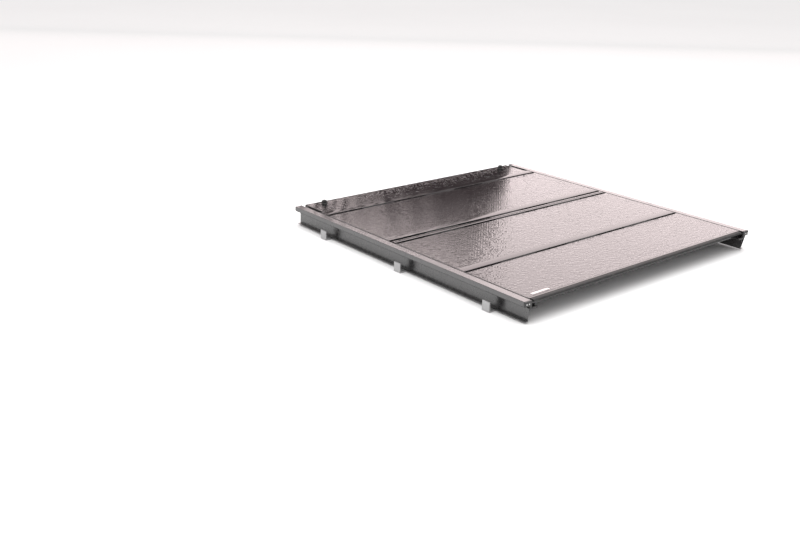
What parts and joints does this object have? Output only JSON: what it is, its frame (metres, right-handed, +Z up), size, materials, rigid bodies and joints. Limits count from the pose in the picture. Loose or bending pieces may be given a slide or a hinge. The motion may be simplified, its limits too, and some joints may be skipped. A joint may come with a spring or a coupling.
{
  "type": "folding tonneau cover",
  "caption": "Hard folding pickup bed cover: textured sandwich panels joined by low hinges, on clamped side rails with drain gutters, slam latches and prop arms.",
  "frame": {"origin": "middle of the cover's length and width, at the underside of the clamps", "axes": "+X across the bed to the truck's right, +Y forward towards the cab, +Z up"},
  "size_m": [1.652, 1.636, 0.1233],
  "materials": {
    "panel_skin": "satin",
    "panel_core": "matte",
    "black_extrusion": "satin",
    "moulded_plastic": "matte",
    "rubber": "matte",
    "cable_jacket": "satin",
    "steel": "satin",
    "clamp_metal": "satin"
  },
  "bodies": {
    "frame": {"bulkhead_seal": "rubber", "bump_stop_left": "rubber", "bump_stop_right": "rubber", "clamp_bolt_left_front": "steel", "clamp_bolt_left_middle": "steel", "clamp_bolt_left_rear": "steel", "clamp_bolt_right_front": "steel", "clamp_bolt_right_middle": "steel", "clamp_bolt_right_rear": "steel", "clamp_left_front": "clamp_metal", "clamp_left_middle": "clamp_metal", "clamp_left_rear": "clamp_metal", "clamp_right_front": "clamp_metal", "clamp_right_middle": "clamp_metal", "clamp_right_rear": "clamp_metal", "front_panel_cap_left": "moulded_plastic", "front_panel_cap_right": "moulded_plastic", "front_panel_core": "panel_core", "front_panel_front_trim": "black_extrusion", "front_panel_hinge_strip": "black_extrusion", "front_panel_skin": "panel_skin", "prop_bracket_left": "moulded_plastic", "prop_bracket_right": "moulded_plastic", "rail_cap_left": "moulded_plastic", "rail_cap_right": "moulded_plastic", "rail_left": "black_extrusion", "rail_right": "black_extrusion", "rail_seal_left": "rubber", "rail_seal_right": "rubber"},
    "second_panel": {"front_hinge_pin": "steel", "second_panel_cap_left": "moulded_plastic", "second_panel_cap_right": "moulded_plastic", "second_panel_core": "panel_core", "second_panel_front_edge": "black_extrusion", "second_panel_hinge_strip": "black_extrusion", "second_panel_skin": "panel_skin"},
    "hinge_link": {"hinge_link": "black_extrusion", "hinge_link_front_pin": "steel", "hinge_link_rear_pin": "steel"},
    "third_panel": {"third_panel_cap_left": "moulded_plastic", "third_panel_cap_right": "moulded_plastic", "third_panel_core": "panel_core", "third_panel_front_edge": "black_extrusion", "third_panel_hinge_strip": "black_extrusion", "third_panel_skin": "panel_skin"},
    "rear_panel": {"latch_housing_left": "moulded_plastic", "latch_housing_right": "moulded_plastic", "rear_hinge_pin": "steel", "rear_panel_cap_left": "moulded_plastic", "rear_panel_cap_right": "moulded_plastic", "rear_panel_core": "panel_core", "rear_panel_front_edge": "black_extrusion", "rear_panel_rear_trim": "black_extrusion", "rear_panel_skin": "panel_skin", "rear_seal": "rubber", "release_cable": "cable_jacket"},
    "prop_arm_left": {"prop_arm_left": "moulded_plastic"},
    "prop_arm_right": {"prop_arm_right": "moulded_plastic"},
    "latch_bolt_left": {"latch_bolt_left": "steel"},
    "latch_bolt_right": {"latch_bolt_right": "steel"}
  },
  "joints": [
    {"name": "front_fold", "type": "hinge", "parent": "frame", "child": "second_panel", "pos_m": [0, 0.597, 0.104], "axis": [-1, 0, 0], "range_deg": [0, 90]},
    {"name": "link_fold", "type": "hinge", "parent": "second_panel", "child": "hinge_link", "pos_m": [0, 0.099, 0.104], "axis": [-1, 0, 0], "range_deg": [0, 90]},
    {"name": "third_panel_fold", "type": "hinge", "parent": "hinge_link", "child": "third_panel", "pos_m": [0, 0.056, 0.104], "axis": [-1, 0, 0], "range_deg": [0, 90]},
    {"name": "rear_fold", "type": "hinge", "parent": "third_panel", "child": "rear_panel", "pos_m": [0, -0.415, 0.104], "axis": [-1, 0, 0], "range_deg": [0, 180]},
    {"name": "prop_arm_left_swing", "type": "hinge", "parent": "frame", "child": "prop_arm_left", "pos_m": [-0.759, 0.786, 0.094], "axis": [-1, 0, 0], "range_deg": [0, 75]},
    {"name": "prop_arm_right_swing", "type": "hinge", "parent": "frame", "child": "prop_arm_right", "pos_m": [0.759, 0.786, 0.094], "axis": [-1, 0, 0], "range_deg": [0, 75]},
    {"name": "latch_right_slide", "type": "slide", "parent": "rear_panel", "child": "latch_bolt_right", "axis": [-1, 0, 0], "range_m": [0, 0.02], "stiffness_N_per_m": 200},
    {"name": "latch_left_slide", "type": "slide", "parent": "rear_panel", "child": "latch_bolt_left", "axis": [1, 0, 0], "range_m": [0, 0.02], "stiffness_N_per_m": 200}
  ],
  "couplings": [
    {"joint": "latch_left_slide", "follows": "latch_right_slide", "ratio": 1}
  ]
}
